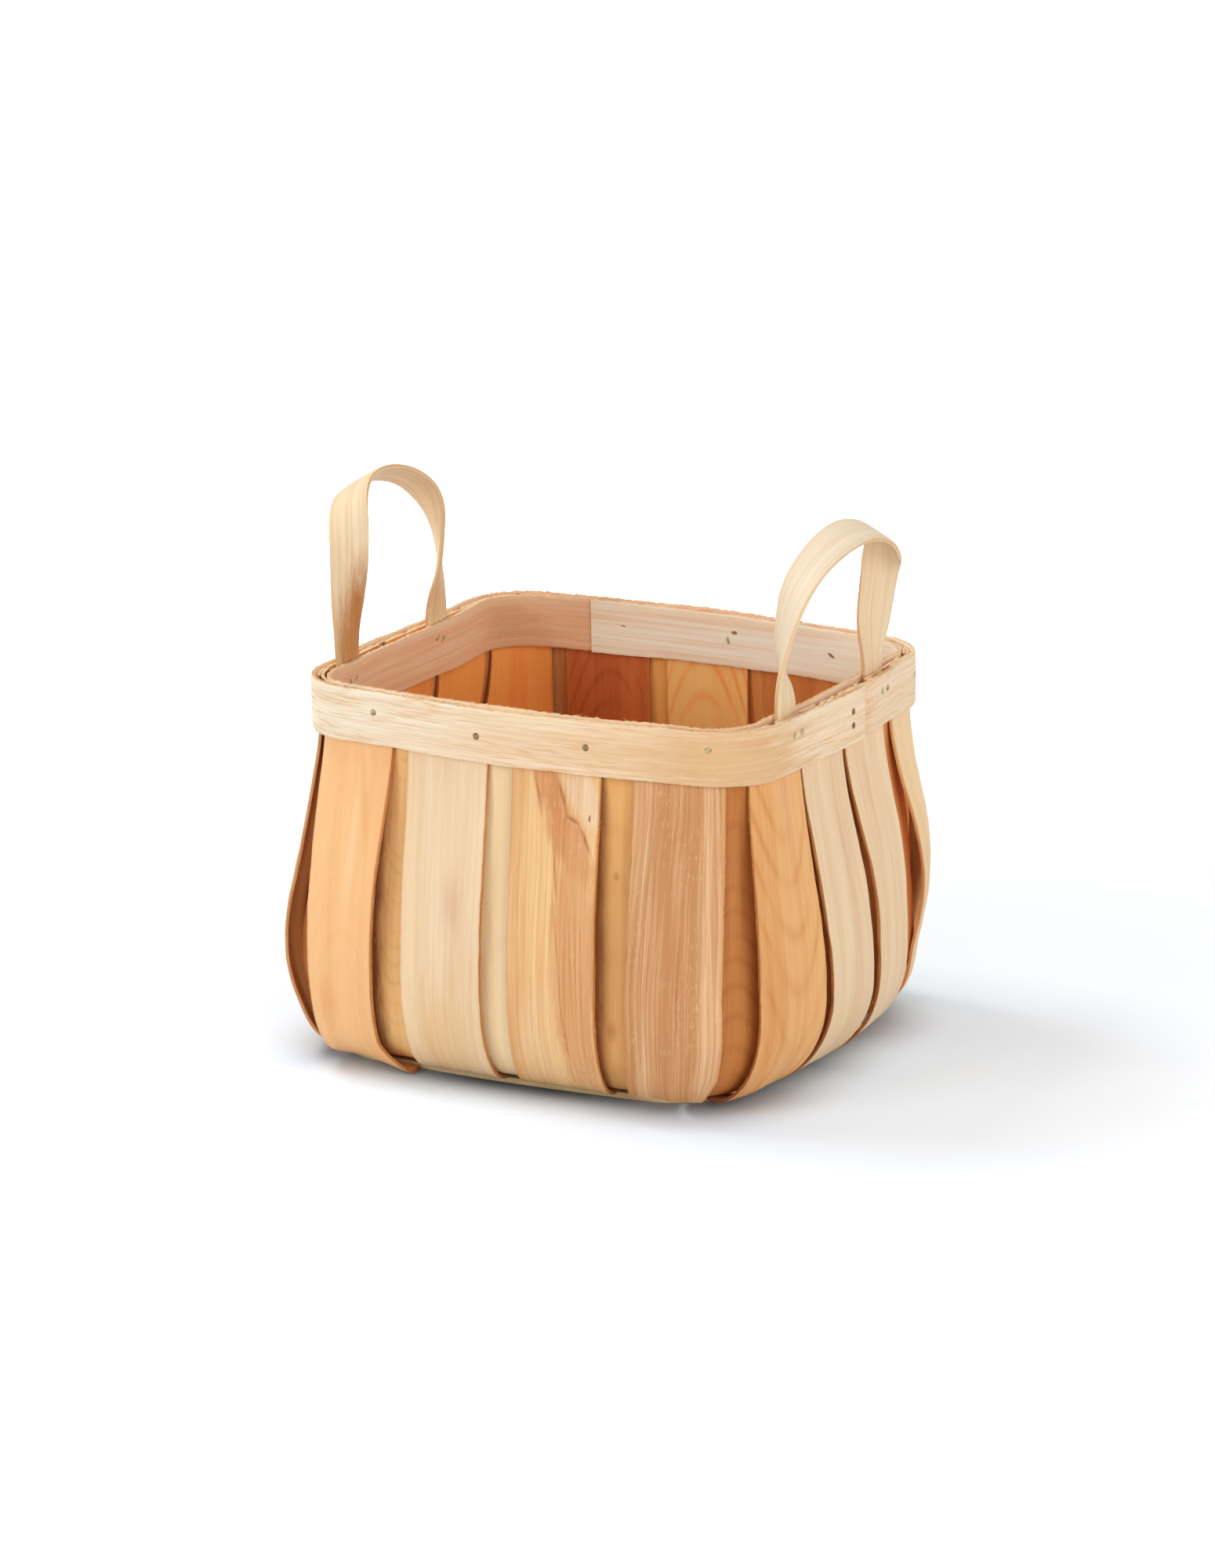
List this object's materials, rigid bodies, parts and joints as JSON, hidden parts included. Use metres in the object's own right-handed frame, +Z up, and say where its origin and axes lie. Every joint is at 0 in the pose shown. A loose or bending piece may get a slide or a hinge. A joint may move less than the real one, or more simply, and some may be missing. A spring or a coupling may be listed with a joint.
{
  "type": "berry basket",
  "caption": "Berry basket of thin split-wood staves bent under at the foot, clamped between rim bands and base boards, with two twisted strap handles.",
  "frame": {"origin": "middle of the box round the basket, on the surface that it stands on", "axes": "+X along the long sides, towards the lower handle; -Y out of the front long side; +Z up"},
  "size_m": [0.2934, 0.2454, 0.2801],
  "materials": {
    "cream_wood": "raw, unvarnished",
    "straw_wood": "raw, unvarnished",
    "honey_wood": "raw, unvarnished",
    "tan_wood": "raw, unvarnished",
    "ochre_wood": "raw, unvarnished",
    "russet_wood": "raw, unvarnished",
    "nail_metal": "dull"
  },
  "bodies": {
    "root": {"base_board": "cream_wood", "floor_board": "straw_wood", "floor_tack_1": "nail_metal", "floor_tack_2": "nail_metal", "floor_tack_3": "nail_metal", "floor_tack_4": "nail_metal", "handle_left": "cream_wood", "handle_right": "cream_wood", "inner_band": "straw_wood", "inner_stave_01": "honey_wood", "inner_stave_02": "cream_wood", "inner_stave_03": "ochre_wood", "inner_stave_04": "honey_wood", "inner_stave_05": "russet_wood", "inner_stave_06": "honey_wood", "inner_stave_07": "russet_wood", "inner_stave_08": "ochre_wood", "inner_stave_09": "ochre_wood", "inner_stave_10": "straw_wood", "inner_stave_11": "russet_wood", "inner_stave_12": "honey_wood", "inner_stave_13": "russet_wood", "inner_stave_14": "honey_wood", "inner_stave_15": "ochre_wood", "inner_stave_16": "russet_wood", "outer_band": "straw_wood", "outer_stave_01": "honey_wood", "outer_stave_02": "cream_wood", "outer_stave_03": "honey_wood", "outer_stave_04": "tan_wood", "outer_stave_05": "honey_wood", "outer_stave_06": "cream_wood", "outer_stave_07": "cream_wood", "outer_stave_08": "straw_wood", "outer_stave_09": "honey_wood", "outer_stave_10": "tan_wood", "outer_stave_11": "straw_wood", "outer_stave_12": "cream_wood", "outer_stave_13": "honey_wood", "outer_stave_14": "straw_wood", "outer_stave_15": "tan_wood", "outer_stave_16": "honey_wood", "rim_nail_01": "nail_metal", "rim_nail_02": "nail_metal", "rim_nail_03": "nail_metal", "rim_nail_04": "nail_metal", "rim_nail_05": "nail_metal", "rim_nail_06": "nail_metal", "rim_nail_07": "nail_metal", "rim_nail_08": "nail_metal", "rim_nail_09": "nail_metal", "rim_nail_10": "nail_metal", "rim_nail_11": "nail_metal", "rim_nail_12": "nail_metal", "rim_nail_13": "nail_metal", "rim_nail_14": "nail_metal", "rim_nail_15": "nail_metal", "rim_nail_16": "nail_metal", "rim_nail_17": "nail_metal", "rim_nail_18": "nail_metal"}
  },
  "joints": []
}
